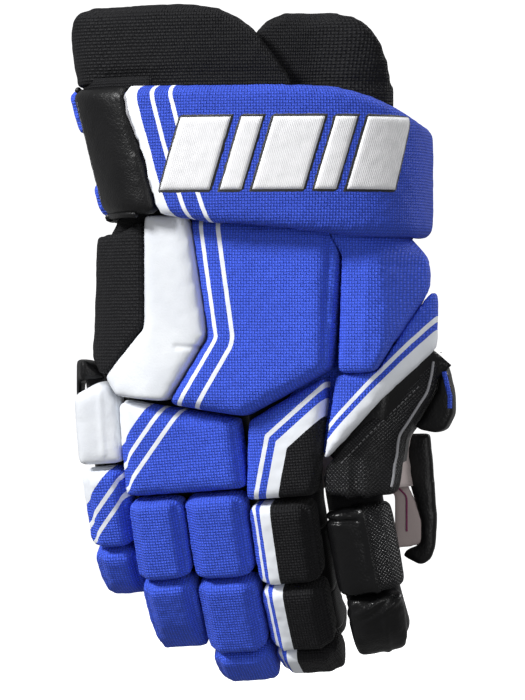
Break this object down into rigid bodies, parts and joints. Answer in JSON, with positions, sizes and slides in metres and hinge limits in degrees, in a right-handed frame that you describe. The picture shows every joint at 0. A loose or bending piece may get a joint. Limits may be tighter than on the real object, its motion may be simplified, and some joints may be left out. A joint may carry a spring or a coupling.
{
  "type": "hockey glove",
  "caption": "Padded hockey player's glove for the right hand: segmented back padding, hinged finger and thumb rolls, rolled cuff with raised flares.",
  "frame": {"origin": "centre of the cuff's mouth, level with the top edge of the cuff band over the back of the wrist", "axes": "+Z from the finger tips towards the forearm, +Y out of the palm, -Y out of the back of the hand, +X towards the thumb"},
  "size_m": [0.1991, 0.1184, 0.3546],
  "materials": {
    "blue_fabric": "coarse woven nylon, royal blue",
    "white_leather": "smooth white synthetic leather",
    "black_mesh": "coarse black nylon mesh",
    "black_leather": "smooth and embossed black synthetic leather",
    "nash_palm": "suede-like palm leather",
    "liner_fabric": "brushed lining",
    "webbing": "elastic webbing"
  },
  "bodies": {
    "hand": {"hand_shell": "liner_fabric", "palm": "nash_palm", "palm_patch": "nash_palm", "heel_pad": "black_leather", "back_pad": "blue_fabric", "white_pad": "white_leather", "side_wall": "black_mesh", "corner_patch": "black_leather", "thumb_side_pad": "blue_fabric", "diagonal_roll": "blue_fabric"},
    "cuff": {"cuff_band": "blue_fabric", "cuff_side_panel": "black_leather", "cuff_palm_panel": "blue_fabric", "cuff_strap": "webbing", "cuff_liner": "liner_fabric", "flare_back": "black_mesh", "flare_thumb": "black_mesh"},
    "index_1": {"index_1_roll": "blue_fabric", "index_1_stall": "nash_palm"},
    "index_2": {"index_2_roll": "black_mesh", "index_2_stall": "nash_palm"},
    "index_3": {"index_3_roll": "black_mesh", "index_3_stall": "nash_palm"},
    "index_4": {"index_4_roll": "black_mesh", "index_4_stall": "nash_palm"},
    "midring_1": {"midring_1_roll": "blue_fabric", "midring_1_stall": "nash_palm"},
    "middle_2": {"middle_2_roll": "blue_fabric", "middle_2_stall": "nash_palm"},
    "middle_3": {"middle_3_roll": "blue_fabric", "middle_3_stall": "nash_palm"},
    "middle_4": {"middle_4_roll": "blue_fabric", "middle_4_stall": "nash_palm"},
    "ring_2": {"ring_2_roll": "blue_fabric", "ring_2_stall": "nash_palm"},
    "ring_3": {"ring_3_roll": "blue_fabric", "ring_3_stall": "nash_palm"},
    "little_1": {"little_1_roll": "white_leather", "little_1_stall": "nash_palm"},
    "little_2": {"little_2_roll": "blue_fabric", "little_2_stall": "nash_palm"},
    "little_3": {"little_3_roll": "blue_fabric", "little_3_stall": "nash_palm"},
    "thumb_1": {"thumb_panel": "black_leather", "thumb_base_stall": "nash_palm", "thumb_heel_flap": "black_leather", "thumb_lobe_lining": "nash_palm", "thumb_lobe_rim": "black_leather"},
    "thumb_2": {"thumb_2_roll": "black_leather", "thumb_2_stall": "nash_palm"},
    "thumb_3": {"thumb_3_roll": "black_leather", "thumb_3_stall": "nash_palm"}
  },
  "joints": [
    {"name": "wrist_bend", "type": "hinge", "parent": "hand", "child": "cuff", "pos_m": [-0.0026, 0.009, -0.075], "axis": [1, 0, 0], "range_deg": [-8, 8]},
    {"name": "index_knuckle_bend", "type": "hinge", "parent": "hand", "child": "index_1", "pos_m": [0.0157, 0.003, -0.164], "axis": [0.9969, 0, 0.0785], "range_deg": [-3, 25]},
    {"name": "index_middle_bend", "type": "hinge", "parent": "index_1", "child": "index_2", "pos_m": [0.01924, 0.00774, -0.209], "axis": [0.9969, 0, 0.0785], "range_deg": [-5, 35]},
    {"name": "index_third_bend", "type": "hinge", "parent": "index_2", "child": "index_3", "pos_m": [0.02228, 0.01958, -0.2476], "axis": [0.9969, 0, 0.0785], "range_deg": [-4, 28]},
    {"name": "index_tip_bend", "type": "hinge", "parent": "index_3", "child": "index_4", "pos_m": [0.02429, 0.03437, -0.27313], "axis": [0.9969, 0, 0.0785], "range_deg": [-3, 21]},
    {"name": "middle_ring_knuckle_bend", "type": "hinge", "parent": "hand", "child": "midring_1", "pos_m": [-0.0185, 0.003, -0.171], "axis": [0.9969, 0, 0.0785], "range_deg": [-3, 25]},
    {"name": "middle_middle_bend", "type": "hinge", "parent": "midring_1", "child": "middle_2", "pos_m": [-0.0158, 0.00662, -0.20537], "axis": [0.9969, 0, 0.0785], "range_deg": [-5, 35]},
    {"name": "middle_third_bend", "type": "hinge", "parent": "middle_2", "child": "middle_3", "pos_m": [-0.0126, 0.01828, -0.24591], "axis": [0.9969, 0, 0.0785], "range_deg": [-4, 28]},
    {"name": "middle_tip_bend", "type": "hinge", "parent": "middle_3", "child": "middle_4", "pos_m": [-0.01016, 0.03417, -0.27699], "axis": [0.9969, 0, 0.0785], "range_deg": [-3, 21]},
    {"name": "ring_middle_bend", "type": "hinge", "parent": "midring_1", "child": "ring_2", "pos_m": [-0.0474, 0.00662, -0.20785], "axis": [0.9969, 0, 0.0785], "range_deg": [-5, 35]},
    {"name": "ring_end_bend", "type": "hinge", "parent": "ring_2", "child": "ring_3", "pos_m": [-0.04447, 0.01732, -0.24506], "axis": [0.9969, 0, 0.0785], "range_deg": [-4, 28]},
    {"name": "little_knuckle_bend", "type": "hinge", "parent": "hand", "child": "little_1", "pos_m": [-0.079, 0.006, -0.154], "axis": [0.9969, 0, 0.0785], "range_deg": [-3, 25]},
    {"name": "little_middle_bend", "type": "hinge", "parent": "little_1", "child": "little_2", "pos_m": [-0.07598, 0.01004, -0.19233], "axis": [0.9969, 0, 0.0785], "range_deg": [-5, 35]},
    {"name": "little_end_bend", "type": "hinge", "parent": "little_2", "child": "little_3", "pos_m": [-0.07322, 0.02016, -0.2275], "axis": [0.9969, 0, 0.0785], "range_deg": [-4, 28]},
    {"name": "thumb_base_swing", "type": "hinge", "parent": "hand", "child": "thumb_1", "pos_m": [0.0714, 0.017, -0.1635], "axis": [0.678, 0, 0.735], "range_deg": [-2, 6]},
    {"name": "thumb_middle_bend", "type": "hinge", "parent": "thumb_1", "child": "thumb_2", "pos_m": [0.0535, 0.014, -0.214], "axis": [0.9436, 0.2706, 0.1908], "range_deg": [-5, 18]},
    {"name": "thumb_tip_bend", "type": "hinge", "parent": "thumb_2", "child": "thumb_3", "pos_m": [0.06026, 0.02072, -0.25695], "axis": [0.9436, 0.2706, 0.1908], "range_deg": [-4, 14.4]}
  ],
  "couplings": [
    {"joint": "index_third_bend", "follows": "index_middle_bend", "ratio": 0.8},
    {"joint": "index_tip_bend", "follows": "index_middle_bend", "ratio": 0.6},
    {"joint": "middle_third_bend", "follows": "middle_middle_bend", "ratio": 0.8},
    {"joint": "middle_tip_bend", "follows": "middle_middle_bend", "ratio": 0.6},
    {"joint": "ring_end_bend", "follows": "ring_middle_bend", "ratio": 0.8},
    {"joint": "little_end_bend", "follows": "little_middle_bend", "ratio": 0.8},
    {"joint": "thumb_tip_bend", "follows": "thumb_middle_bend", "ratio": 0.8}
  ]
}
